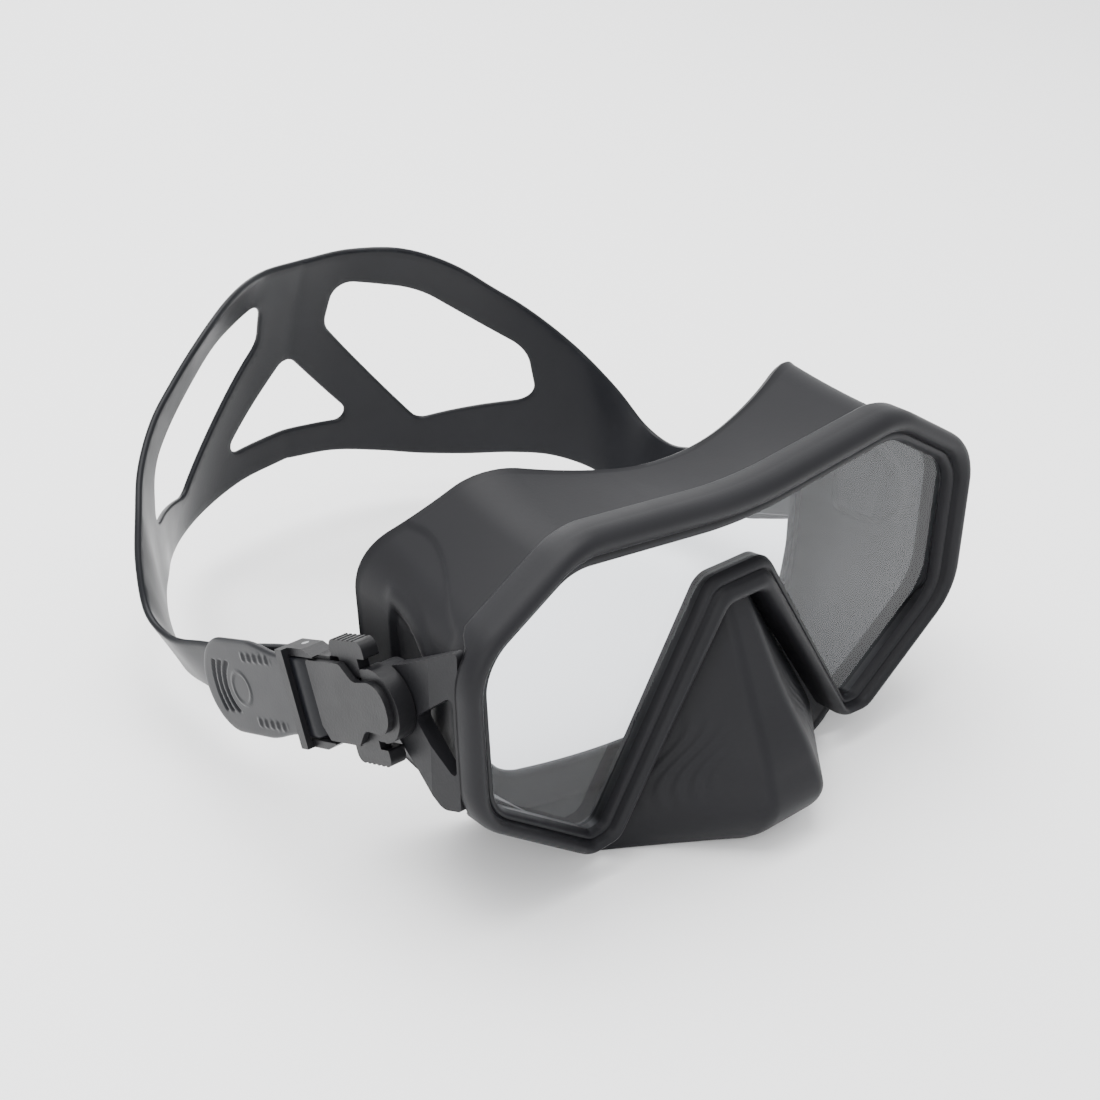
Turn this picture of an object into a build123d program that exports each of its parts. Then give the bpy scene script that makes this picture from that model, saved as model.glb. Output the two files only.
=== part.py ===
from build123d import *
import math
import os

# Single-window diving mask with a swivel-buckle head strap.  Millimetres, +Z up.  The lens faces -Y,
# the strap loops round the head on the +Y side, and left is the wearer's left, +X.  The model is
# mirror-symmetric about X = 0.  Everything is drawn with the lens front at Y = 0 and moved by LENS_Y
# at the end, so that the origin is the centre of the bounding box's bottom face.

NOSE_REACH = 24.6        # how far the nose pocket stands in front of the lens
STRAP_REACH = 193.2      # how far the strap panel stands behind the lens
LENS_Y = (NOSE_REACH - STRAP_REACH) / 2

# lens, hard inner frame and rim
GLASS_T = 3.5            # tempered glass
GLASS_BITE = 2.2         # glass hidden under the rim's lip
FRAME_W = 1.5            # hard ring round the glass
RIM_FRONT = -5.0         # Y of the rim's front
RIM_BACK = 5.0           # Y where the rim ends and the skirt starts
RIM_STEP = 2.0           # the rim's front layer is this much narrower on each side

# soft skirt
WALL = 2.0               # silicone wall
SEAL_T = 1.5             # face seal thickness
SEAL_W = 13.0            # face seal width
FACE_RADIUS = 122.0      # plan radius of the wearer's face
FACE_Y = 24.0            # Y of the face seal at the forehead
SKIRT_END = 54.0         # Y of the last skirt section, beyond the face cut

# swivel: the strap and both buckles turn about the X line through this point
PIVOT_Y = 22.0
PIVOT_Z = 53.5
BUCKLE_TILT = 21.0       # the buckles point this far below the horizontal at rest
PIN_R = 2.2
PIN_HEAD_R = 3.4
PIN_HEAD_T = 1.2
RUNNING_FIT = 0.06       # radial clearance of a pin in its bore
ARM_IN = 78.8            # X of the arm's inner face
ARM_OUT = 82.5           # X of the arm's outer face by the buckle
ARM_ROOT_OUT = 80.9      # X of its outer face at the rim
ARM_FULL_Y = 9.0         # Y where the arm has come out to its full width
BOSS_R = 8.3

# buckle, in its own frame: U rearwards along the strap, V up across it, X outboard
BODY_IN = 82.8
BODY_OUT = 87.2
BODY_HALF = 10.5         # half height of the housing
BODY_END = 23.2          # U where the housing's block ends
COVER_OUT = 88.7
COVER_HALF = 9.6
RING_R = 8.6
BUTTON_U = 7.0           # U of the button's middle
BUTTON_LENGTH = 13.6
BUTTON_BASE = 10.5       # V of the button head's underside at rest
BUTTON_TOP = 14.6        # V of its ribbed top
STEM_LENGTH = 7.6
STEM_LOW = 6.2           # V of the stem's inner end
BUTTON_TRAVEL = 1.8
SLIDE_GAP = 0.3          # gap round a sliding button
SPRING_U = 8.9
SPRING_X = 85.3
SPRING_R = 1.05
SPRING_WIRE_R = 0.2
SPRING_SEAT = 2.2        # V of the rib that both springs stand on
CAVITY_U = 11.3          # U where the pawl's chamber starts
CAVITY_HALF = 8.7
FLOOR_T = 1.0            # housing wall behind the chamber
ROLLER_U = 27.5
ROLLER_X = 85.0
ROLLER_R = 1.7
AXLE_R = 0.9
BAR_U = 29.4             # U where the tail keeper bar starts
BAR_W = 3.0
BAR_T = 1.4
CHEEK_T = 1.9            # cheek beside the strap
PAWL_U = 19.6
PAWL_X = 85.5
PAWL_HALF = 8.3
PAWL_PIN_R = 0.8

# strap
STRAP_T = 1.9
STRAP_HALF = 9.9         # half width inside the buckle
SIDE_GAP = 0.3           # between the strap's edge and the cheek
WRAP_R = ROLLER_R + 0.3  # inner radius of the strap's turn round the roller
TAIL_HALF = 12.4         # half width of the loose tail's rounded end
TAIL_END = 76.0          # U of the tail's tip
LEG_END = 33.0           # U where the inner leg joins the moulded band

CHEEK_V = STRAP_HALF + SIDE_GAP
WRAP_OUT = WRAP_R + STRAP_T
BAR_X = ROLLER_X + WRAP_OUT + 0.2


# helpers --------------------------------------------------------------------------------------

def polygon(*corners):
    """Closed outline with a radius at each corner."""
    path = FilletPolyline(*[c[:2] for c in corners], radius=[c[2] for c in corners], close=True)
    return make_face(path)


def outline(*corners):
    """Closed XZ outline from its right-half corners (x, z, radius), top to bottom, mirrored to the left."""
    left = [(-x, z, r) for x, z, r in reversed(corners) if x > 0]
    return polygon(*corners, *left)


def rectangle(u_low, u_high, v_low, v_high):
    return Pos((u_low + u_high) / 2, (v_low + v_high) / 2) * Rectangle(u_high - u_low, v_high - v_low)


def at_y(sketch, y):
    return Plane.XZ.offset(-y) * sketch


def slab(sketch, y_front, y_back):
    """XZ outline filled between two Y values."""
    return extrude(at_y(sketch, y_back), y_back - y_front)


def plate(sketch, x_in, x_out):
    """Side-view outline filled between two X values."""
    return extrude(Plane.YZ.offset(x_in) * sketch, x_out - x_in)


def both(sketch):
    """Buckle outline with its mirror image below the strap's centre line."""
    return sketch + mirror(sketch, Plane.XZ)


def bar_across(u, x, radius, half_length):
    """Round bar along V."""
    return Pos(x, u, 0) * Cylinder(radius, 2 * half_length)


def seat(part):
    """Puts a buckle piece at its place on the left-hand side."""
    return Pos(0, PIVOT_Y, PIVOT_Z) * Rot(X=-BUCKLE_TILT) * part


# front of the mask ----------------------------------------------------------------------------

def window_outline():
    return outline((0, 77.3, 120), (52, 83.2, 12), (75.0, 68.6, 8), (73.0, 33.0, 6), (43.0, 11.2, 3.5),
                   (9.8, 66.3, 6))


def rim_outline():
    return outline((0, 86.8, 120), (51.5, 92.2, 14), (82.6, 72.6, 9), (81.2, 32.6, 12), (49.3, 7.6, 9),
                   (37.6, 8.6, 4), (5.6, 58.8, 4))


def frame_outline():
    return offset(window_outline(), GLASS_BITE + FRAME_W)


def lens():
    return slab(offset(window_outline(), GLASS_BITE), 0, GLASS_T)


def inner_frame():
    return slab(frame_outline(), 0, GLASS_T) - lens()


def rim_blank():
    """Stepped ring: a narrower layer stands for the rim's rounded front."""
    step_y = RIM_FRONT + RIM_STEP
    back = slab(rim_outline() - window_outline(), step_y, RIM_BACK)
    front = offset(rim_outline(), -RIM_STEP) - offset(window_outline(), RIM_STEP)
    return back + slab(front, RIM_FRONT, step_y)


def arm_outline():
    arm = polygon((1, 74.3, 1), (18.5, 63.8, 8), (PIVOT_Y, 62, 1), (PIVOT_Y, 45, 1), (14.5, 39.6, 6),
                  (6, 32.5, 3), (1, 34, 1))
    boss = Pos(PIVOT_Y, PIVOT_Z) * Circle(BOSS_R)
    return arm + boss


def side_arm():
    window = polygon((2.6, 63.0, 1.2), (14.2, 52.6, 1.5), (1.8, 41.6, 1.0))
    hole = Pos(PIVOT_Y, PIVOT_Z) * Circle(PIN_R)
    taper = polygon((ARM_ROOT_OUT, 1, 0.01), (ARM_OUT, ARM_FULL_Y, 0.01), (ARM_OUT + 2, 1, 0.01))
    return plate(arm_outline() - window - hole, ARM_IN, ARM_OUT) - Pos(0, 0, 20) * extrude(taper, 70)


def skirt_rim():
    pocket = slab(frame_outline(), 0, GLASS_T)
    arm = plate(arm_outline(), ARM_IN, 90)
    return rim_blank() - pocket - arm - mirror(arm, Plane.YZ)


# skirt ----------------------------------------------------------------------------------------

def skirt_loft(inset):
    front = outline((0, 84.5, 120), (52, 89.5, 16), (79.0, 71.5, 16), (77.5, 36, 16), (38, 0, 15))
    middle = outline((0, 85.0, 120), (50, 93.0, 18), (76.0, 72.0, 18), (75.0, 35, 18), (46, 0, 15))
    rear = outline((0, 90.0, 120), (42, 105.0, 22), (74.5, 78.0, 22), (73.0, 32, 22), (61, 0, 15))
    places = ((front, RIM_BACK), (middle, FACE_Y), (rear, SKIRT_END))
    return loft([at_y(offset(sketch, -inset), y) for sketch, y in places])


def face_cylinder(thickness):
    """The wearer's face, thickened towards the lens."""
    return Pos(0, FACE_Y + FACE_RADIUS, 50) * Cylinder(FACE_RADIUS + thickness, 200)


def skirt_body():
    return skirt_loft(0) - skirt_loft(WALL) - face_cylinder(SEAL_T)


def face_seal():
    ring = skirt_loft(0) - skirt_loft(SEAL_W)
    return (ring & face_cylinder(SEAL_T)) - face_cylinder(0)


def nose_loft(shrink):
    """Horizontal sections: height, half width of the bridge, its Y, half width at the base."""
    levels = ((0, 8.6, -13.5, 38.5), (11, 8.8, -NOSE_REACH, 36.5), (20, 7.8, -22.2, 31.2),
              (29, 6.7, -17.2, 26.0), (44, 4.8, -9.0, 17.0), (58.5, 3.6, -3.0, 7.5))
    sections = []
    for z, bridge, y_bridge, base in levels:
        w = bridge - 0.5 * shrink
        b = base - 1.3 * shrink
        front = y_bridge + shrink
        back = RIM_BACK + 2 * shrink
        section = polygon((-w, front, 3), (w, front, 3), (b, back, 0.5), (-b, back, 0.5))
        height = z + shrink if z == 0 else z - 0.5 * shrink
        sections.append(Pos(0, 0, height) * section)
    return loft(sections, ruled=True)


def nose_arch():
    """Space between the rim's two legs, which the pocket fills."""
    return slab(outline((3.41, 58.8, 0.01), (6.78, 56.95, 0.01), (46.9, -6, 0.01)), -40, RIM_BACK)


def nose_pocket():
    return (nose_loft(0) - nose_loft(WALL)) & nose_arch()


# buckle ---------------------------------------------------------------------------------------

def pivot_pin():
    shank = plate(Circle(PIN_R), ARM_IN, BODY_OUT - 0.3)
    head = plate(Circle(PIN_HEAD_R), BODY_OUT - 0.3 - PIN_HEAD_T, BODY_OUT - 0.3)
    foot = plate(Circle(PIN_HEAD_R), ARM_IN - PIN_HEAD_T, ARM_IN)
    return shank + head + foot


def stem_outline(gap):
    half = STEM_LENGTH / 2 + gap
    return rectangle(BUTTON_U - half, BUTTON_U + half, STEM_LOW - BUTTON_TRAVEL * (gap > 0) - gap, BUTTON_BASE + gap)


def buckle_body():
    top = BAR_U + BAR_W
    block = rectangle(BUTTON_U, BODY_END, -BODY_HALF, BODY_HALF)
    body = plate(block + Circle(RING_R), BODY_IN, BODY_OUT)
    cheek = polygon((BODY_END - 4, CHEEK_V, 0.1), (top, CHEEK_V, 0.1), (top, CHEEK_V + CHEEK_T, 0.8),
                    (BODY_END, CHEEK_V + CHEEK_T, 0.8), (BODY_END - 4, CHEEK_V + 0.3, 0.1))
    body += plate(both(cheek), BODY_IN, COVER_OUT)
    bar = rectangle(BAR_U, top, -CHEEK_V - CHEEK_T, CHEEK_V + CHEEK_T)
    ends = both(rectangle(BAR_U, top, CHEEK_V, CHEEK_V + CHEEK_T))
    body += plate(bar, BAR_X, BAR_X + BAR_T) + plate(ends, BODY_IN, BAR_X + BAR_T)

    chamber = rectangle(CAVITY_U, BODY_END + 1, -CAVITY_HALF, CAVITY_HALF)
    body -= plate(chamber, BODY_IN + FLOOR_T, BODY_OUT)
    body -= plate(both(stem_outline(SLIDE_GAP)), BODY_IN + FLOOR_T, BODY_OUT)
    reach = BUTTON_LENGTH / 2 + SLIDE_GAP
    notch = rectangle(BUTTON_U - reach, BUTTON_U + reach, BUTTON_BASE - BUTTON_TRAVEL - SLIDE_GAP, BUTTON_TOP)
    body -= plate(both(notch), BODY_IN, BODY_OUT)
    spring_half = SPRING_R + 2 * SPRING_WIRE_R
    spring_slot = rectangle(SPRING_U - spring_half, SPRING_U + spring_half, SPRING_SEAT, STEM_LOW)
    body -= plate(both(spring_slot), SPRING_X - spring_half, BODY_OUT)
    body -= plate(Circle(PIN_R + RUNNING_FIT), BODY_IN, BODY_OUT)
    body -= plate(Circle(PIN_HEAD_R + SLIDE_GAP), BODY_OUT - 0.6 - PIN_HEAD_T, BODY_OUT)
    body -= bar_across(ROLLER_U, ROLLER_X, AXLE_R, CHEEK_V + CHEEK_T)
    body -= bar_across(PAWL_U, PAWL_X, PAWL_PIN_R, BODY_HALF - 0.6)
    return body


def buckle_cover():
    """Keyhole plate: a disc over the pin, a waist and a wide rear block with one cut corner."""
    disc = 6.4
    waist = 5.6
    end = BODY_END - 0.2
    profile = polygon((-disc, disc, 5.5), (4.6, waist, 3.0), (8.6, COVER_HALF, 1.5), (end, COVER_HALF, 1.0),
                      (end, 3.5 - COVER_HALF, 0.5), (end - 2.2, -COVER_HALF, 0.5), (8.6, -COVER_HALF, 1.5),
                      (4.6, -waist, 3.0), (-disc, -disc, 5.5))
    return plate(profile, BODY_OUT, COVER_OUT)


def button():
    """Upper button: ribbed cap outside the housing and a stem inside it."""
    half = BUTTON_LENGTH / 2
    head = polygon((BUTTON_U - half, BUTTON_BASE, 0.4), (BUTTON_U + half, BUTTON_BASE, 0.4),
                   (BUTTON_U + half, BUTTON_TOP, 2.2), (BUTTON_U - half, BUTTON_TOP, 2.2))
    rib_pitch = 1.9
    for rib in range(-2, 3):
        head -= Pos(BUTTON_U + rib_pitch * rib, BUTTON_TOP + 0.25) * Circle(0.6)
    cap = plate(head, BODY_IN + 0.05, BODY_OUT - SLIDE_GAP)
    return cap + plate(stem_outline(0), BODY_IN + FLOOR_T + SLIDE_GAP, BODY_OUT - SLIDE_GAP)


def spring():
    """Coil between the upper button's stem and the housing's middle rib."""
    height = STEM_LOW - SPRING_SEAT - 2 * SPRING_WIRE_R
    coil = Helix(pitch=height / 5, height=height, radius=SPRING_R)
    wire = sweep(Plane(coil @ 0, z_dir=coil % 0) * Circle(SPRING_WIRE_R), path=coil)
    return Pos(SPRING_X, SPRING_U, SPRING_SEAT + SPRING_WIRE_R) * wire


def pawl():
    """Lever across the strap: its edge presses the strap's teeth against the roller."""
    tip = ROLLER_U - WRAP_OUT - 0.3
    profile = polygon((PAWL_X - 1.3, PAWL_U - 1.8, 0.9), (PAWL_X - 1.2, PAWL_U + 1.4, 0.5),
                      (PAWL_X - 0.7, tip, 0.2), (PAWL_X + 0.2, tip, 0.2), (PAWL_X + 1.3, PAWL_U - 1.8, 0.9))
    lever = Pos(0, 0, -PAWL_HALF) * extrude(profile, 2 * PAWL_HALF)
    return lever - bar_across(PAWL_U, PAWL_X, PAWL_PIN_R + RUNNING_FIT, PAWL_HALF)


def pawl_pin():
    return bar_across(PAWL_U, PAWL_X, PAWL_PIN_R, BODY_HALF - 0.6)


def roller():
    barrel = bar_across(ROLLER_U, ROLLER_X, ROLLER_R, STRAP_HALF)
    return barrel - bar_across(ROLLER_U, ROLLER_X, AXLE_R + RUNNING_FIT, STRAP_HALF)


def roller_axle():
    return bar_across(ROLLER_U, ROLLER_X, AXLE_R, CHEEK_V + CHEEK_T)


# strap ----------------------------------------------------------------------------------------

def leg_edge(v):
    """Point of the inner leg's end, on the strap's middle surface."""
    tilt = math.radians(BUCKLE_TILT)
    y = PIVOT_Y + LEG_END * math.cos(tilt) + v * math.sin(tilt)
    z = PIVOT_Z - LEG_END * math.sin(tilt) + v * math.cos(tilt)
    return Vector(ROLLER_X - WRAP_R - STRAP_T / 2, y, z)


# Left half of the moulded band, from the back of the head to the buckle: upper edge, lower edge and
# how far the band bows outwards between them.
BAND = (((0, 175, 93.5), (0, 192.2, 24.4), 4.5), ((15, 172.5, 94.0), (17, 191.2, 22.5), 4.2),
        ((29, 165.5, 92.8), (32, 188.0, 19.0), 3.8), ((43.5, 159.5, 86.0), (45, 181.0, 16.5), 3.0),
        ((55.5, 156, 77.0), (55, 170, 17.2), 2.0), ((64.4, 152.3, 70.0), (63, 157.5, 19.6), 1.2),
        ((73.2, 145.7, 61.0), (70, 146.5, 20.4), 0.6), ((79, 138.5, 53.0), (75, 136.8, 19.0), 0),
        ((84.5, 131, 43.5), (78, 127.5, 16.6), 0), ((88, 122.5, 34.0), (80, 117, 14.8), 0),
        ((88.2, 112, 31.2), (81, 105, 16.6), 0), ((86.8, 98, 35.0), (81.6, 91, 19.5), 0),
        ((85.0, 82, 41.0), (82.2, 75, 24.0), 0), ((83.2, 67.5, 46.8), (82.2, 61, 28.6), 0))


def band_section(upper, lower, bow, tangent):
    width = upper - lower
    normal = width.cross(tangent).normalized()
    outward = Vector((upper.X + lower.X) / 2, (upper.Y + lower.Y) / 2 - 90, 0)
    normal = normal if normal.dot(outward) > 0 else -normal
    middle = (upper + lower) * 0.5 + normal * bow
    half = normal * (STRAP_T / 2)
    spine = (upper, middle, lower)
    loop = [p + half for p in spine] + [p - half for p in reversed(spine)]
    return make_face(Polyline(*loop, close=True))


def band_half():
    edges = [(Vector(*upper), Vector(*lower), bow) for upper, lower, bow in BAND]
    edges.append((leg_edge(STRAP_HALF), leg_edge(-STRAP_HALF), 0))
    centres = [(upper + lower) * 0.5 for upper, lower, bow in edges]
    sections = []
    for i, (upper, lower, bow) in enumerate(edges):
        tangent = centres[min(i + 1, len(edges) - 1)] - centres[max(i - 1, 0)]
        if i == 0:
            tangent = Vector(1, 0, 0)
        if i == len(edges) - 1:
            tangent = Vector(0, math.cos(math.radians(BUCKLE_TILT)), -math.sin(math.radians(BUCKLE_TILT)))
        sections.append(band_section(upper, lower, bow, tangent))
    return loft(sections, ruled=True)


def strap_end():
    """Inner leg, turn round the roller, and the loose tail outside the buckle."""
    ring = Circle(WRAP_OUT) - Circle(WRAP_R) - rectangle(-10, 10, 0, 10)
    leg = LEG_END - ROLLER_U
    inner_leg = rectangle(-WRAP_OUT, -WRAP_R, 0, leg)
    turn = extrude(Pos(ROLLER_X, ROLLER_U) * (ring + inner_leg), 2 * STRAP_HALF)
    turn = Pos(0, 0, -STRAP_HALF) * turn
    tail = polygon((ROLLER_U, -STRAP_HALF, 0.1), (ROLLER_U + 9, -STRAP_HALF, 8), (ROLLER_U + 24, -TAIL_HALF, 20),
                   (TAIL_END, -TAIL_HALF, 12), (TAIL_END, TAIL_HALF, 12), (ROLLER_U + 24, TAIL_HALF, 20),
                   (ROLLER_U + 9, STRAP_HALF, 8), (ROLLER_U, STRAP_HALF, 0.1))
    return turn + plate(tail, ROLLER_X + WRAP_R, ROLLER_X + WRAP_OUT)


def side_window():
    """Drop-shaped opening in the strap panel beside the crown strut."""
    return polygon((13, 83.5, 5), (36, 78.5, 30), (66, 55.5, 12), (68.3, 39.5, 6), (43, 29.4, 3.5), (11.8, 68.3, 8))


def centre_window():
    return outline((0, 60.8, 4), (25, 32.4, 3), (0, 34.4, 60))


def strap():
    half = band_half() - slab(side_window(), 120, 220) + seat(strap_end())
    whole = half + mirror(half, Plane.YZ)
    return whole - slab(centre_window(), 150, 220)


# assembly -------------------------------------------------------------------------------------

MIDDLE = {"lens": lens, "inner_frame": inner_frame, "skirt_rim": skirt_rim, "skirt_body": skirt_body,
          "face_seal": face_seal, "nose_pocket": nose_pocket, "strap": strap}

BUCKLE = {"pivot_pin": pivot_pin, "buckle_body": buckle_body, "buckle_cover": buckle_cover,
          "upper_button": button, "upper_spring": spring, "strap_pawl": pawl, "pawl_pin": pawl_pin,
          "strap_roller": roller, "roller_axle": roller_axle}


def pieces():
    for name, make in MIDDLE.items():
        yield name, make()
    sides = {"side_arm": side_arm()}
    sides.update({name: seat(make()) for name, make in BUCKLE.items()})
    for name, make in (("lower_button", button), ("lower_spring", spring)):
        sides[name] = seat(mirror(make(), Plane.XY))
    for name, piece in sides.items():
        yield name + "_left", piece
        yield name + "_right", mirror(piece, Plane.YZ)


os.makedirs("parts", exist_ok=True)
for node, piece in pieces():
    export_step(Pos(0, LENS_Y, 0) * piece, f"parts/{node}.step")
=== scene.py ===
"""Looks of the diving mask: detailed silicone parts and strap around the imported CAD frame."""
import math

import bmesh
import bpy
import numpy as np
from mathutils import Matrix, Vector
from mathutils.geometry import delaunay_2d_cdt


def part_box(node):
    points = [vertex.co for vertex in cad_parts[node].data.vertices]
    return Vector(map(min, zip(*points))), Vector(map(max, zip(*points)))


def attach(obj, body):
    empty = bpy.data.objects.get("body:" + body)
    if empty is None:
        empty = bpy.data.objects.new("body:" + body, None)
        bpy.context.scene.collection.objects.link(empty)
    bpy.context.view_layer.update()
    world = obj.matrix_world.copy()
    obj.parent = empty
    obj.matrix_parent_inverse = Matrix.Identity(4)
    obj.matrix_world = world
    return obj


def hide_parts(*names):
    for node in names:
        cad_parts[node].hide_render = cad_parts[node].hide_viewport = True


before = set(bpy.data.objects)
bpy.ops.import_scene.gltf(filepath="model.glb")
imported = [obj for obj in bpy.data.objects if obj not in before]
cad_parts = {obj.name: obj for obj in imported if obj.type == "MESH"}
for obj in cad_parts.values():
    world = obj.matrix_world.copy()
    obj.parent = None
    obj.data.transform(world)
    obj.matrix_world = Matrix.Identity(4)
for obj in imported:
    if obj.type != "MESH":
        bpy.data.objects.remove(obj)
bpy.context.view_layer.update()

# All shapes are worked out in millimetres, with the lens front at Y = 0, and moved into the frame by
# place().  Left is the wearer's left, +X, and every shape is mirror-symmetric about X = 0.
MM = 0.001
WELD = 1e-6                # metres; points closer than this become one
LENS_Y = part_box("lens")[0].y
SIDES = ("left", "right")

RIM_FRONT = -5.0
RIM_BACK = 5.0
RIM_SIDE_BACK = 1.0        # the rim is shallower where the side arms start
RIM_WIDTH = 9.5            # the rim's profile is drawn for this width and narrows with the rim
RIM_LAP = 0.5              # the rim's back ends this far outside the window's edge
SKIRT_WALL = 1.8
SKIRT_LAP = 0.4            # how far the side wall runs into the rim
FACE_RADIUS = 122.0        # the face seal's back is bent round this radius, in plan
FACE_Y = 24.0
SEAL_W = 12.5
SEAL_ROLL = 3.0            # radius of the turn from the side wall into the face seal
NOSE_WALL = 1.9
NOSE_TOP = 58.5
NOSE_BACK = RIM_BACK - 0.3

PIVOT = Vector((0, 22.0, 53.5))
BUCKLE_TILT = math.radians(21.0)
ALONG = Vector((0, math.cos(BUCKLE_TILT), -math.sin(BUCKLE_TILT)))
ACROSS = Vector((0, math.sin(BUCKLE_TILT), math.cos(BUCKLE_TILT)))
ROLLER_U = 27.5
ROLLER_X = 85.0
STRAP_T = 1.9
STRAP_HALF = 9.9
WRAP_MID = 2.0 + STRAP_T / 2    # radius of the strap's middle surface round the roller
LEG_END = 33.0
TAIL_HALF = 12.3
TAIL_END = 75.9
WIDEN_LENGTH = 16.0
TAIL_DETAIL = 38.0              # length of the loose tail, from its tip, that carries relief
GRIP_CENTRE = 18.5              # from the tail's tip to the centre of its curved grooves and disc
HEAD_Y = 90.0                   # a point inside the loop of the strap
BAND_MID_Z = 55.0
FINE_STEP = 0.4                 # mesh size on the loose tails
EDGE_STEP = 1.0                 # mesh size along the band's edges


# meshes ---------------------------------------------------------------------------------------

def place(points):
    """Millimetres from the lens to the frame's metres."""
    out = np.asarray(points, float) * MM
    out[:, 1] += LENS_Y
    return out


def new_object(name, points, faces, material, body, sharp_angle=50):
    mesh = bpy.data.meshes.new(name)
    verts = [tuple(p) for p in place(points)]
    mesh.from_pydata(verts, [], [tuple(int(i) for i in f) for f in faces])
    bm = bmesh.new()
    bm.from_mesh(mesh)
    bmesh.ops.remove_doubles(bm, verts=bm.verts, dist=WELD)
    bmesh.ops.recalc_face_normals(bm, faces=bm.faces)
    bm.to_mesh(mesh)
    bm.free()
    mesh.shade_smooth()
    mesh.set_sharp_from_angle(angle=math.radians(sharp_angle))
    mesh.materials.append(material)
    piece = bpy.data.objects.new(name, mesh)
    bpy.context.scene.collection.objects.link(piece)
    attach(piece, body)
    return piece


def thicken(piece, thickness, even):
    """Gives a skin its wall, towards its inside; even keeps the wall's thickness round corners."""
    wall = piece.modifiers.new("wall", "SOLIDIFY")
    wall.thickness = thickness * MM
    wall.offset = -1
    wall.use_even_offset = even
    graph = bpy.context.evaluated_depsgraph_get()
    solid = bpy.data.meshes.new_from_object(piece.evaluated_get(graph))
    piece.modifiers.clear()
    piece.data = solid


def ring(flat, y):
    """Row of (x, y, z) points from (x, z) points and their Y, one for all or one for each."""
    return np.stack([flat[:, 0], np.broadcast_to(y, len(flat)), flat[:, 1]], 1)


def unit(vectors):
    return vectors / np.maximum(np.linalg.norm(vectors, axis=-1, keepdims=True), 1e-9)


def grid_faces(rows, cols, wrap=True):
    """Quads between consecutive rows of points."""
    faces = []
    for r in range(rows - 1):
        for c in range(cols if wrap else cols - 1):
            d = (c + 1) % cols
            faces.append((r * cols + c, r * cols + d, (r + 1) * cols + d, (r + 1) * cols + c))
    return faces


def rounded_loop(corners, arc_steps=9, line_steps=12):
    """Closed (x, z) loop of filleted corners, with the same number of points for each corner."""
    pts = np.array([c[:2] for c in corners], float)
    count = len(corners)
    arcs = []
    for i, (_, _, r) in enumerate(corners):
        p = pts[i]
        a = pts[i - 1] - p
        b = pts[(i + 1) % count] - p
        a /= np.linalg.norm(a)
        b /= np.linalg.norm(b)
        half = math.acos(max(-1, min(1, float(a @ b)))) / 2
        reach = r / math.tan(half)
        bis = (a + b) / np.linalg.norm(a + b)
        centre = p + bis * r / math.sin(half)
        start, end = p + a * reach - centre, p + b * reach - centre
        t0 = math.atan2(start[1], start[0])
        turn = math.atan2(end[1], end[0]) - t0
        turn = (turn + math.pi) % (2 * math.pi) - math.pi
        angles = [t0 + turn * k / arc_steps for k in range(arc_steps + 1)]
        arcs.append([centre + r * np.array([math.cos(t), math.sin(t)]) for t in angles])
    out = []
    for i, arc in enumerate(arcs):
        nxt = arcs[(i + 1) % count][0]
        out.extend(arc)
        for k in range(1, line_steps):
            out.append(arc[-1] + (nxt - arc[-1]) * k / line_steps)
    return np.array(out)


def mirrored(corners):
    """Adds the other half of an outline whose first corner is on X = 0."""
    return list(corners) + [(-x, z, r) for x, z, r in reversed(corners) if x > 0]


def inward(loop):
    """Unit normals of a closed clockwise (x, z) loop, towards its inside."""
    step = unit(np.roll(loop, -1, 0) - np.roll(loop, 1, 0))
    return np.stack([step[:, 1], -step[:, 0]], 1)


def smooth_curve(values, at):
    """Catmull-Rom through rows of (parameter, numbers...)."""
    values = np.asarray(values, float)
    t, p = values[:, 0], values[:, 1:]
    slope = np.gradient(p, t, axis=0, edge_order=1)
    k = np.clip(np.searchsorted(t, at, side="right") - 1, 0, len(t) - 2)
    h = t[k + 1] - t[k]
    x = ((at - t[k]) / h)[:, None]
    h = h[:, None]
    return ((2 * x**3 - 3 * x**2 + 1) * p[k] + (x**3 - 2 * x**2 + x) * h * slope[k]
            + (-2 * x**3 + 3 * x**2) * p[k + 1] + (x**3 - x**2) * h * slope[k + 1])


def smoothstep(low, high, value):
    x = np.clip((value - low) / (high - low), 0, 1)
    return x * x * (3 - 2 * x)


# materials ------------------------------------------------------------------------------------

def new_material(name, colour, roughness, **sockets):
    material = bpy.data.materials.new(name)
    material.use_nodes = True
    shader = material.node_tree.nodes["Principled BSDF"]
    shader.inputs["Base Color"].default_value = (*colour, 1)
    shader.inputs["Roughness"].default_value = roughness
    for socket, value in sockets.items():
        shader.inputs[socket.replace("_", " ")].default_value = value
    return material, material.node_tree, shader


def noise(tree, scale, detail):
    coords = tree.nodes.new("ShaderNodeTexCoord")
    node = tree.nodes.new("ShaderNodeTexNoise")
    node.inputs["Scale"].default_value = scale
    node.inputs["Detail"].default_value = detail
    node.inputs["Roughness"].default_value = 0.55
    tree.links.new(coords.outputs["Object"], node.inputs["Vector"])
    return node.outputs["Fac"]


def vary(tree, shader, socket, factor, low, high):
    """Drives a shader socket from a texture, between two numbers or two colours."""
    ramp = tree.nodes.new("ShaderNodeMapRange" if isinstance(low, float) else "ShaderNodeMix")
    if isinstance(low, float):
        ramp.inputs["To Min"].default_value = low
        ramp.inputs["To Max"].default_value = high
        tree.links.new(factor, ramp.inputs["Value"])
        tree.links.new(ramp.outputs["Result"], shader.inputs[socket])
        return
    # A Mix node's colours are its sockets 6 and 7, and its mixed colour is output 2.
    ramp.data_type = "RGBA"
    ramp.inputs[6].default_value = (*low, 1)
    ramp.inputs[7].default_value = (*high, 1)
    tree.links.new(factor, ramp.inputs[0])
    tree.links.new(ramp.outputs[2], shader.inputs[socket])


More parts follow.
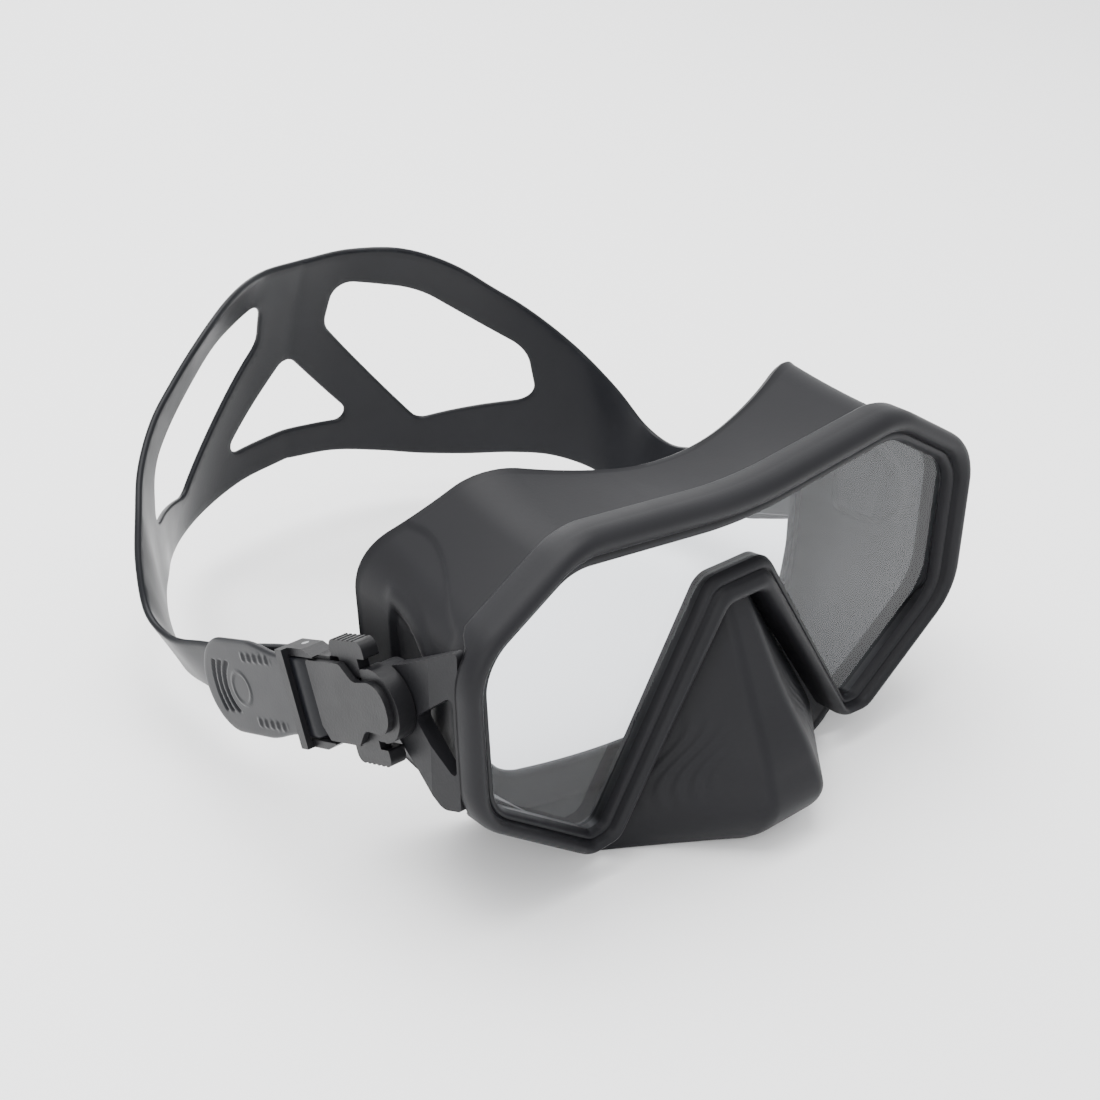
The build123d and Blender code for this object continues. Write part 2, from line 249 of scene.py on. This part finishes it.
def bump(tree, shader, height, strength, distance):
    node = tree.nodes.new("ShaderNodeBump")
    node.inputs["Strength"].default_value = strength
    node.inputs["Distance"].default_value = distance
    tree.links.new(height, node.inputs["Height"])
    tree.links.new(node.outputs["Normal"], shader.inputs["Normal"])


def silicone(name, dark, light, rough_low, rough_high):
    """Moulded silicone: fine matt grain over slow cloudy variation of colour and gloss."""
    material, tree, shader = new_material(name, dark, rough_low, Specular_IOR_Level=0.19)
    vary(tree, shader, "Base Color", noise(tree, 45, 4), dark, light)
    vary(tree, shader, "Roughness", noise(tree, 90, 5), rough_low, rough_high)
    bump(tree, shader, noise(tree, 1500, 2), 0.1, 0.00015)
    return material


def plastic(name, dark, light, rough_low, rough_high, grain):
    """Moulded plastic with a fine spark-eroded grain."""
    material, tree, shader = new_material(name, dark, rough_low, Specular_IOR_Level=0.22)
    vary(tree, shader, "Base Color", noise(tree, 70, 4), dark, light)
    vary(tree, shader, "Roughness", noise(tree, 160, 4), rough_low, rough_high)
    bump(tree, shader, noise(tree, grain, 2), 0.15, 0.0002)
    return material


def steel():
    material, tree, shader = new_material("steel", (0.55, 0.55, 0.57), 0.3, Metallic=1.0)
    vary(tree, shader, "Roughness", noise(tree, 700, 3), 0.22, 0.4)
    return material


def clear_glass():
    """Tempered pane: nearly clear, with a faint blue tint and slight smears in its gloss."""
    material, tree, shader = new_material("lens_glass", (0.90, 0.925, 0.96), 0.02, IOR=1.27)
    shader.inputs["Transmission Weight"].default_value = 1.0
    vary(tree, shader, "Roughness", noise(tree, 60, 5), 0.0, 0.012)
    return material


SKIRT = silicone("skirt_silicone", (0.0038, 0.0038, 0.005), (0.0068, 0.0068, 0.0085), 0.46, 0.58)
STRAP = silicone("strap_silicone", (0.003, 0.0032, 0.0045), (0.0055, 0.006, 0.008), 0.26, 0.42)
ARM = plastic("arm_plastic", (0.0045, 0.0045, 0.0055), (0.0075, 0.0075, 0.009), 0.46, 0.56, 1800)
BUCKLE = plastic("buckle_plastic", (0.0032, 0.0032, 0.004), (0.006, 0.006, 0.007), 0.36, 0.48, 1500)
STEEL = steel()
GLASS = clear_glass()


# rim ------------------------------------------------------------------------------------------

WINDOW = mirrored([(0, 77.3, 120), (52, 83.2, 15), (75.2, 69.2, 12), (73.2, 33.0, 10), (45.4, 12.9, 2.8),
                   (41.9, 13.0, 2.8), (9.8, 66.3, 6)])
RIM = mirrored([(0, 86.8, 120), (51.5, 92.4, 21), (82.6, 73.4, 16), (81.2, 32.4, 18), (48.4, 8.6, 7),
                (38.6, 9.3, 5), (5.6, 58.8, 4)])


# The rim's cross-section: distance out from the window's edge and Y, distance in from the outer edge
# and Y, then distance in from the outer edge and how far short of the rim's back.
RIM_INNER = ((0, -0.05), (0.3, -0.9), (0.75, -1.7), (1.3, -2.2), (1.8, -2.4), (2.6, -2.45),
             (2.95, -2.15), (3.2, -2.1), (3.45, -2.4), (3.8, -3.3), (4.4, -4.1))
RIM_OUTER = ((3.9, -4.8), (2.9, RIM_FRONT), (1.9, -4.75), (1.0, -4.1), (0.35, -3.1), (0, -1.8),
             (0, -0.6), (0, 0.4))
RIM_TURN = ((0, 1.2), (0.35, 0.45), (1.1, 0.1), (2.4, 0.0), (4.5, 0.0))


def rim():
    window = rounded_loop(WINDOW)
    outer = rounded_loop(RIM)
    gap = outer - window
    width = np.linalg.norm(gap, axis=1, keepdims=True)
    out = gap / width
    tight = np.minimum(1, width / RIM_WIDTH)
    x, z = np.abs(outer[:, 0]), outer[:, 1]
    side = smoothstep(76, 80, x) * smoothstep(28, 33, z) * smoothstep(79, 75, z)
    back = RIM_BACK + (RIM_SIDE_BACK - RIM_BACK) * side
    rows = [ring(window + out * d * tight, y) for d, y in RIM_INNER]
    rows += [ring(outer - out * d * tight, y) for d, y in RIM_OUTER]
    rows += [ring(outer - out * d * tight, back - short) for d, short in RIM_TURN]
    rows.append(ring(window + out * RIM_LAP, back))
    rows.append(ring(window, 0.0))
    piece = new_object("rim", np.concatenate(rows), grid_faces(len(rows), len(window)), SKIRT,
                       "mask")
    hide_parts("skirt_rim")


# skirt ----------------------------------------------------------------------------------------

SKIRT_FRONT = mirrored([(0, 84.5, 120), (52, 89.5, 16), (79.0, 71.5, 16), (77.5, 36, 16), (38, 0, 15)])
SKIRT_MIDDLE = mirrored([(0, 85.0, 120), (50, 93.0, 18), (76.0, 72.0, 18), (75.0, 35, 18), (46, 0, 15)])
SKIRT_REAR = mirrored([(0, 90.0, 120), (42, 105.0, 22), (74.5, 78.0, 22), (73.0, 32, 22), (61, 0, 15)])
SKIRT_Y = (RIM_BACK, FACE_Y, 54.0)
SKIRT_LOOPS = [rounded_loop(corners, arc_steps=16, line_steps=26)
               for corners in (SKIRT_FRONT, SKIRT_MIDDLE, SKIRT_REAR)]


def skirt_section(y):
    """(x, z) of the outer wall, each loop point at its own Y, on parabolas through the three loops."""
    front, middle, rear = SKIRT_LOOPS
    y0, y1, y2 = SKIRT_Y
    a = ((y - y1) * (y - y2) / ((y0 - y1) * (y0 - y2)))[:, None]
    b = ((y - y0) * (y - y2) / ((y1 - y0) * (y1 - y2)))[:, None]
    c = ((y - y0) * (y - y1) / ((y2 - y0) * (y2 - y1)))[:, None]
    return a * front + b * middle + c * rear


def face_y(x):
    """Y of the face seal's back, which bends round the head."""
    return FACE_Y + FACE_RADIUS - np.sqrt(FACE_RADIUS**2 - x**2)


def side_relief(x, y, z):
    """How far the side wall is raised (+) or sunk (-): a panel step, a sunk D and the rib round it."""
    line = 72.5 + 10.7 * smoothstep(8, 36, y) ** 0.75
    below = smoothstep(line + 0.35, line - 0.35, z) * smoothstep(30, 44, z)
    panel = -0.45 * smoothstep(7, 10, y) * below
    dist = np.hypot(y - 33, (z - 54) * 1.08)
    inside = smoothstep(15.6, 14.6, dist) * smoothstep(33.4, 32.6, y)
    rib = smoothstep(15.8, 17.4, dist) * smoothstep(21.5, 19.4, dist) * smoothstep(37, 33, y)
    level = smoothstep(44, 48, z) * smoothstep(45, 60, np.abs(x))
    return (panel - 0.8 * inside * (1 - panel) + 0.7 * rib) * level


def skirt():
    front = SKIRT_LOOPS[0]
    side = smoothstep(70, 76, np.abs(front[:, 0])) * smoothstep(26, 33, front[:, 1])
    start = RIM_BACK - SKIRT_LAP + (RIM_SIDE_BACK - RIM_BACK) * side
    end = np.full(len(front), FACE_Y)
    for _ in range(8):
        end = face_y(skirt_section(end)[:, 0])
    rows = []
    for w in np.linspace(0, 1, 44):
        y = start + (end - SEAL_ROLL - start) * w
        flat = skirt_section(np.maximum(y, RIM_BACK))
        lift = side_relief(flat[:, 0], y, flat[:, 1])[:, None]
        rows.append(ring(flat - inward(flat) * lift, y))
    edge = skirt_section(end)
    into = inward(edge)
    for angle in np.radians((18, 36, 54, 72, 90)):
        flat = edge + into * SEAL_ROLL * (1 - math.cos(angle))
        rows.append(ring(flat, face_y(flat[:, 0]) - SEAL_ROLL * (1 - math.sin(angle))))
    for d in np.linspace(SEAL_ROLL, SEAL_W, 9)[1:]:
        flat = edge + into * d
        curl = 0.6 * ((d - SEAL_ROLL) / (SEAL_W - SEAL_ROLL)) ** 2
        rows.append(ring(flat, face_y(flat[:, 0]) - curl))
    piece = new_object("skirt", np.concatenate(rows), grid_faces(len(rows), len(front)), SKIRT,
                       "mask")
    thicken(piece, SKIRT_WALL, even=True)
    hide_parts("skirt_body", "face_seal")


# nose pocket ----------------------------------------------------------------------------------

# Height, half width of the bridge, Y of the bridge and half width at the cheeks.
NOSE_LEVELS = ((0, 8.4, -14.2, 38.8), (5.5, 8.9, -20.7, 37.6), (11.5, 8.7, -24.4, 35.6),
               (20.5, 7.7, -21.8, 30.6), (35, 5.6, -13.5, 21.6), (NOSE_TOP, 3.3, -1.3, 7.2))


def nose_section(z, shrink):
    """Open (x, y) line round the pocket at height z, from one cheek over the bridge to the other."""
    bridge, y_bridge, base = smooth_curve(NOSE_LEVELS, np.array([z]))[0]
    cheek = np.array([base - shrink, NOSE_BACK])
    corner = np.array([bridge - 0.4 * shrink, y_bridge + shrink])
    radius = min(corner[0] * 0.9, 4.5)
    along = (corner - cheek) / np.linalg.norm(corner - cheek)
    start = corner - along * radius * math.tan(math.acos(-along[0]) / 2)
    across = np.array([along[1], -along[0]]) * radius
    centre = start + across
    if centre[1] < corner[1]:
        centre = start - across
    t0 = math.atan2(start[1] - centre[1], start[0] - centre[0])
    turn = (math.pi / 2 - t0) % (2 * math.pi) - math.pi
    angles = [t0 + turn * k / 10 for k in range(11)]
    line = [cheek + (start - cheek) * k / 40 for k in range(40)]
    line += [centre + radius * np.array([math.cos(t), math.sin(t)]) for t in angles]
    top = line[-1]
    line += [top * np.array([1 - k / 5, 1]) for k in range(1, 5)]
    half_line = np.array(line)
    other_half = half_line * np.array([-1, 1])
    return np.concatenate([half_line, [[0, top[1]]], other_half[::-1]])


def nose_grip(x, y, z):
    """Fine wavy grip lines moulded on the flanks."""
    centre = smoothstep(0, 1, 1 - np.hypot((y + 6) / 11, (z - 22) / 15)) * smoothstep(9, 13, np.abs(x))
    wave = np.sin((y * 0.9 + 1.6 * np.sin(z * 0.28 + y * 0.1)) * 2.4)
    return 0.22 * centre * wave


def nose_pocket():
    levels = [(z, 0) for z in (*np.linspace(NOSE_TOP, 3, 96), 2.2, 1.5)]
    levels += [(0.85, 0.25), (0.3, 0.8), (0.0, 1.7)]
    rows = []
    for z, shrink in levels:
        line = nose_section(z, shrink)
        rows.append(np.column_stack([line, np.full(len(line), z)]))
    last = rows[-1]
    for k in range(1, 9):
        row = last.copy()
        row[:, 1] += (NOSE_BACK - row[:, 1]) * k / 8
        rows.append(row)
    grid = np.stack(rows)
    normal = unit(np.cross(np.gradient(grid, axis=1), np.gradient(grid, axis=0)))
    outwards = np.sign((normal * (grid - np.array([0, 0, 25.0]))).sum(2, keepdims=True))
    grid = grid + normal * outwards * nose_grip(*np.moveaxis(grid, 2, 0))[..., None]
    faces = grid_faces(len(rows), grid.shape[1], wrap=False)
    piece = new_object("nose_pocket_soft", grid.reshape(-1, 3), faces, SKIRT, "mask")
    thicken(piece, NOSE_WALL, even=False)
    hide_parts("nose_pocket")


# strap ----------------------------------------------------------------------------------------

# Left half of the moulded band, from the back of the head to the buckle: upper edge, lower edge and
# how far the band bows outwards between them.
BAND = (((0, 175, 93.5), (0, 192.2, 24.4), 4.5), ((15, 172.5, 94.0), (17, 191.2, 22.5), 4.2),
        ((29, 165.5, 92.8), (32, 188.0, 19.0), 3.8), ((43.5, 159.5, 86.0), (45, 181.0, 16.5), 3.0),
        ((55.5, 156, 77.0), (55, 170, 17.2), 2.0), ((64.4, 152.3, 70.0), (63, 157.5, 19.6), 1.2),
        ((73.2, 145.7, 61.0), (70, 146.5, 20.4), 0.6), ((79, 138.5, 53.0), (75, 136.8, 19.0), 0),
        ((84.5, 131, 43.5), (78, 127.5, 16.6), 0), ((88, 122.5, 34.0), (80, 117, 14.8), 0),
        ((88.2, 112, 31.2), (81, 105, 16.6), 0), ((86.8, 98, 35.0), (81.6, 91, 19.5), 0),
        ((85.0, 82, 41.0), (82.2, 75, 24.0), 0), ((83.2, 67.5, 46.8), (82.2, 61, 28.6), 0))
SIDE_WINDOW = ((13, 83.5, 5), (36, 78.5, 30), (66, 55.5, 12), (68.3, 39.5, 6), (43, 29.4, 3.5),
               (11.8, 68.3, 8))
CENTRE_WINDOW = ((0, 60.8, 4), (25, 32.4, 3), (0, 34.4, 60), (-25, 32.4, 3))


def buckle_point(u, x):
    """Point on the left buckle's centre plane, u along the buckle from its pivot."""
    return PIVOT + ALONG * u + Vector((x, 0, 0))


def strap_stations():
    """Rows of arc length, middle point, half width vector and bow, from the centre to the tail's tip."""
    rows = []
    for upper, lower, bow in BAND:
        upper, lower = np.array(upper, float), np.array(lower, float)
        rows.append(((upper + lower) / 2, (upper - lower) / 2, bow))
    wide = np.array(ACROSS) * STRAP_HALF
    for u in (LEG_END, LEG_END - 2.8, ROLLER_U):
        rows.append((np.array(buckle_point(u, ROLLER_X - WRAP_MID)), wide, 0))
    for turn in range(1, 8):
        angle = math.pi * turn / 8
        rows.append((np.array(buckle_point(ROLLER_U - WRAP_MID * math.sin(angle),
                                           ROLLER_X - WRAP_MID * math.cos(angle))), wide, 0))
    for u in (ROLLER_U, 32, 38, 46, 54, 62, 70, TAIL_END + 1):
        rows.append((np.array(buckle_point(u, ROLLER_X + WRAP_MID)), wide, 0))
    length = 0.0
    out = []
    for i, (middle, half, bow) in enumerate(rows):
        if i:
            length += float(np.linalg.norm(middle - rows[i - 1][0]))
        out.append([length, *middle, *half, bow])
    return np.array(out)


STATIONS = strap_stations()
TAIL_S = STATIONS[-1, 0] - 1.0                       # arc length at the tail's tip
WIDEN_S = TAIL_S - (TAIL_END - ROLLER_U - 7)         # where the tail starts to widen


def half_width(s):
    """Half the strap's width at arc length s, measured from the middle of the back."""
    s = np.abs(s)
    row = smooth_curve(STATIONS, np.clip(s, 0, STATIONS[-1, 0]))
    band = np.linalg.norm(row[:, 3:6], axis=1)
    widening = smoothstep(WIDEN_S, WIDEN_S + WIDEN_LENGTH, s)
    tail = STRAP_HALF + (TAIL_HALF - STRAP_HALF) * widening
    left = np.clip(TAIL_S - s, 0, TAIL_HALF)
    cap = np.sqrt(np.maximum(TAIL_HALF**2 - (TAIL_HALF - left) ** 2, 0))
    return np.minimum(np.where(s > WIDEN_S, tail, band), np.where(s > TAIL_S - TAIL_HALF, cap, 1e3))


def strap_point(s, h):
    """Middle surface of the strap at arc length s and height h across it, in millimetres."""
    row = smooth_curve(STATIONS, np.clip(np.abs(s), 0, STATIONS[-1, 0]))
    near = smooth_curve(STATIONS, np.clip(np.abs(s) + 0.5, 0, STATIONS[-1, 0]))
    middle, half, bow = row[:, :3], row[:, 3:6], row[:, 6]
    size = np.linalg.norm(half, axis=1)
    across = half / size[:, None]
    normal = unit(np.cross(across, near[:, :3] - middle))
    outward = middle - np.array([0, HEAD_Y, 0])
    outward[:, 2] = 0
    flip = np.sign((normal * outward).sum(1))[:, None]
    lift = bow * np.maximum(0, 1 - (h / size) ** 2)
    out = middle + across * h[:, None] + normal * flip * lift[:, None]
    out[:, 0] *= np.where(s < 0, -1, 1)
    return out


def strap_normal(s, h):
    step = 0.15
    along = strap_point(s + step, h) - strap_point(s - step, h)
    across = strap_point(s, h + step) - strap_point(s, h - step)
    return unit(np.cross(along, across))


def unroll(loop):
    """Finds (s, h) on the strap for the (x, z) points of a window's edge, by damped Newton steps."""
    step, damping = 0.1, 0.8
    table_s = np.linspace(-160, 160, 641)
    table_x = strap_point(table_s, np.zeros_like(table_s))[:, 0]
    s = np.interp(loop[:, 0], table_x, table_s)
    h = loop[:, 1] - BAND_MID_Z
    for _ in range(25):
        here = strap_point(s, h)[:, [0, 2]]
        ds = (strap_point(s + step, h)[:, [0, 2]] - here) / step
        dh = (strap_point(s, h + step)[:, [0, 2]] - here) / step
        miss = loop - here
        det = ds[:, 0] * dh[:, 1] - ds[:, 1] * dh[:, 0]
        s = s + damping * (miss[:, 0] * dh[:, 1] - miss[:, 1] * dh[:, 0]) / det
        h = h + damping * (ds[:, 0] * miss[:, 1] - ds[:, 1] * miss[:, 0]) / det
    return np.stack([s, h], 1)


def resample(loop, spacing):
    closed = np.vstack([loop, loop[:1]])
    length = np.concatenate([[0], np.cumsum(np.linalg.norm(np.diff(closed, axis=0), axis=1))])
    count = max(16, int(length[-1] / spacing))
    at = np.linspace(0, length[-1], count, endpoint=False)
    return np.stack([np.interp(at, length, closed[:, k]) for k in (0, 1)], 1)


def shift_loop(loop, distance):
    """Moves a closed loop sideways, to the left of its direction."""
    step = unit(np.roll(loop, -1, 0) - np.roll(loop, 1, 0))
    return loop + np.stack([-step[:, 1], step[:, 0]], 1) * distance


def inside_loop(points, loop):
    x, y = points[:, :1], points[:, 1:]
    a, b = loop, np.roll(loop, -1, 0)
    crosses = (a[:, 1] > y) != (b[:, 1] > y)
    where = (b[:, 0] - a[:, 0]) * (y - a[:, 1]) / (b[:, 1] - a[:, 1] + 1e-12) + a[:, 0]
    return (crosses & (x < where)).sum(1) % 2 == 1


def signed_area(loop):
    nxt = np.roll(loop, -1, 0)
    return 0.5 * float((loop[:, 0] * nxt[:, 1] - nxt[:, 0] * loop[:, 1]).sum())


def tail_relief(s, h):
    """Curved grip grooves and a faint disc near the tail's tip, then short ridges along both edges."""
    from_tip = TAIL_S - np.abs(s)
    from_centre = np.hypot(from_tip - GRIP_CENTRE, h)
    lift = np.zeros_like(s)
    for groove in range(3):
        arc = from_centre - (12.6 - 2.5 * groove)
        groove_line = smoothstep(0.8, 0.3, np.abs(arc)) * smoothstep(15.5, 13.5, from_tip)
        lift -= 0.55 * groove_line * smoothstep(6.9, 6.3, np.abs(h))
    lift += 0.2 * smoothstep(4.8, 4.3, from_centre) * smoothstep(3.4, 3.9, from_centre)
    bar = smoothstep(9.5, 9.0, np.abs(h)) * smoothstep(7.0, 7.5, np.abs(h))
    row = smoothstep(22, 23, from_tip) * smoothstep(37, 36, from_tip)
    lift += 0.3 * bar * row * smoothstep(-0.5, 0.5, np.sin(from_tip * 2 * math.pi / 2.8))
    return lift


def strap_border():
    """Closed (s, h) outline of the flat band."""
    ends = TAIL_S - TAIL_HALF * (1 - np.cos(np.linspace(0, math.pi / 2, 24)[:-1]))
    plain = np.arange(0.6, ends.min(), 1.2)
    half_s = np.concatenate([plain, ends[::-1]])
    all_s = np.concatenate([-half_s[::-1], [0], half_s])
    top = np.stack([all_s, half_width(all_s)], 1)
    return np.vstack([top, [[TAIL_S, 0]], (top * [1, -1])[::-1], [[-TAIL_S, 0]]])


def strap_loops():
    """The band's border, then its windows' edges, each with the silicone on its left."""
    side = rounded_loop(SIDE_WINDOW, 12, 16)
    centre = rounded_loop(CENTRE_WINDOW, 10, 16)
    loops = [strap_border()] + [unroll(w) for w in (side, centre, side * [-1, 1])]
    loops = [resample(loop, EDGE_STEP) for loop in loops]
    for i, loop in enumerate(loops):
        anticlockwise = signed_area(loop) > 0
        if (i == 0) != anticlockwise:
            loops[i] = loop[::-1]
    return loops


def strap_fill(loops):
    """Points inside the band, close together on the loose tails."""
    tail = np.arange(TAIL_S - TAIL_DETAIL, TAIL_S - 1, FINE_STEP)
    plain = np.arange(TAIL_DETAIL + 0.5 - TAIL_S, TAIL_S - TAIL_DETAIL - 0.4, 1.4)
    s_grid = np.concatenate([-tail[::-1], plain, tail])
    fill = []
    for s, w in zip(s_grid, half_width(s_grid)):
        step = FINE_STEP if abs(s) > TAIL_S - TAIL_DETAIL - 0.2 else 2.2
        for h in np.arange(-math.floor((w - 1.6) / step) * step, w - 1.5, step):
            fill.append((s, h))
    fill = np.array(fill)
    border, *windows = [shift_loop(loop, STRAP_T / 2 + 0.8) for loop in loops]
    keep = inside_loop(fill, border)
    for window in windows:
        keep &= ~inside_loop(fill, window)
    return fill[keep]


def flat_band(loops):
    """Triangles of the band in (s, h), up to where its rounded edge starts."""
    shrunk = [shift_loop(loop, STRAP_T / 2) for loop in loops]
    verts, edges = [], []
    for loop in shrunk:
        base = len(verts)
        verts += [Vector(p) for p in loop]
        edges += [(base + k, base + (k + 1) % len(loop)) for k in range(len(loop))]
    verts += [Vector(p) for p in strap_fill(loops)]
    flat, _, faces, *_ = delaunay_2d_cdt(verts, edges, [], 1, 1e-4)
    flat = np.array([tuple(v) for v in flat])
    centres = np.array([flat[list(f)].mean(0) for f in faces])
    hole = np.zeros(len(faces), bool)
    for window in shrunk[1:]:
        hole |= inside_loop(centres, window)
    return flat, [f for f, inside in zip(faces, hole) if not inside]


def strap():
    edge = STRAP_T / 2
    loops = strap_loops()
    flat, faces = flat_band(loops)
    middle = strap_point(flat[:, 0], flat[:, 1])
    normal = strap_normal(flat[:, 0], flat[:, 1])
    on_tail = np.abs(flat[:, 0]) > TAIL_S - TAIL_DETAIL
    relief = np.where(on_tail, tail_relief(flat[:, 0], flat[:, 1]), 0)
    away = np.sign((normal * (middle - np.array([0, HEAD_Y, BAND_MID_Z]))).sum(1))
    lift = (edge + np.where(away > 0, relief, 0))[:, None]
    drop = (edge + np.where(away < 0, relief, 0))[:, None]
    count = len(flat)
    points = [middle + normal * lift, middle - normal * drop]
    out_faces = [tuple(f) for f in faces] + [tuple(count + i for i in reversed(f)) for f in faces]
    base = 2 * count
    round_edge = np.linspace(0, math.pi, 9)
    for loop in loops:
        for angle in round_edge:
            row = shift_loop(loop, edge * (1 - math.sin(angle)))
            s, h = row[:, 0], row[:, 1]
            points.append(strap_point(s, h) + strap_normal(s, h) * edge * math.cos(angle))
        strip = grid_faces(len(round_edge), len(loop))
        out_faces += [tuple(base + i for i in f) for f in strip]
        base += len(loop) * len(round_edge)
    piece = new_object("strap_band", np.concatenate(points), out_faces, STRAP, "strap_assembly",
                       sharp_angle=60)
    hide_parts("strap")


# hard parts -----------------------------------------------------------------------------------

def finish_node(name, material, edge=0.0):
    """Material for a CAD node, with softened moulding edges where edge is given in millimetres."""
    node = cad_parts[name]
    node.data.materials.clear()
    node.data.materials.append(material)
    if edge:
        soft = node.modifiers.new("edges", "BEVEL")
        soft.width = edge * MM
        soft.segments = 2
        soft.limit_method = "ANGLE"
        soft.angle_limit = math.radians(35)
        soft.harden_normals = True


def hard_parts():
    finish_node("lens", GLASS)
    finish_node("inner_frame", ARM)
    for side in SIDES:
        finish_node(f"side_arm_{side}", ARM, 0.5)
        finish_node(f"buckle_body_{side}", BUCKLE, 0.25)
        finish_node(f"buckle_cover_{side}", BUCKLE, 0.35)
        for name in ("upper_button", "lower_button", "strap_pawl", "strap_roller"):
            finish_node(f"{name}_{side}", BUCKLE)
        for name in ("pivot_pin", "roller_axle", "pawl_pin", "upper_spring", "lower_spring"):
            finish_node(f"{name}_{side}", STEEL)


# camera, light and floor ----------------------------------------------------------------------

CAMERA_AT = Vector((-277.3, -256.6, 271.5))
CAMERA_AZIMUTH = math.radians(40.70)
CAMERA_DOWN = math.radians(28.21)
CAMERA_LENS = 60.55         # focal length, for a sensor 36 mm wide
FLOOR_HALF = 6.0            # metres


def camera():
    data = bpy.data.cameras.new("camera")
    data.sensor_width = 36
    data.lens = CAMERA_LENS
    data.clip_start = 0.01
    level = math.cos(CAMERA_DOWN)
    look = Vector((math.sin(CAMERA_AZIMUTH) * level, math.cos(CAMERA_AZIMUTH) * level,
                   -math.sin(CAMERA_DOWN)))
    eye = bpy.data.objects.new("camera", data)
    eye.location = CAMERA_AT * MM + Vector((0, LENS_Y, 0))
    eye.rotation_euler = look.to_track_quat("-Z", "Y").to_euler()
    bpy.context.scene.collection.objects.link(eye)
    bpy.context.scene.camera = eye


def area_light(name, at, size, power):
    """Square lamp, in metres and watts, that faces the middle of the mask."""
    data = bpy.data.lights.new(name, "AREA")
    data.size = size
    data.energy = power
    lamp = bpy.data.objects.new(name, data)
    lamp.location = at
    lamp.rotation_euler = (Vector((0, 0, 0.05)) - Vector(at)).to_track_quat("-Z", "Y").to_euler()
    bpy.context.scene.collection.objects.link(lamp)


def lights():
    world = bpy.data.worlds.new("studio")
    world.use_nodes = True
    background = world.node_tree.nodes["Background"]
    background.inputs["Color"].default_value = (0.97, 0.975, 0.985, 1)
    background.inputs["Strength"].default_value = 1.75
    bpy.context.scene.world = world
    area_light("top", (-0.1, 0.1, 1.0), 0.9, 17)
    area_light("front", (-0.9, -0.9, 0.7), 0.8, 7)
    area_light("back", (0.4, 1.0, 0.6), 0.7, 6)


def floor():
    mesh = bpy.data.meshes.new("floor")
    corners = [(x * FLOOR_HALF, y * FLOOR_HALF, 0) for x, y in ((-1, -1), (1, -1), (1, 1), (-1, 1))]
    mesh.from_pydata(corners, [], [(0, 1, 2, 3)])
    material, _, _ = new_material("floor", (0.95, 0.95, 0.95), 0.9)
    mesh.materials.append(material)
    plane = bpy.data.objects.new("floor", mesh)
    bpy.context.scene.collection.objects.link(plane)


rim()
skirt()
nose_pocket()
strap()
hard_parts()
camera()
lights()
floor()
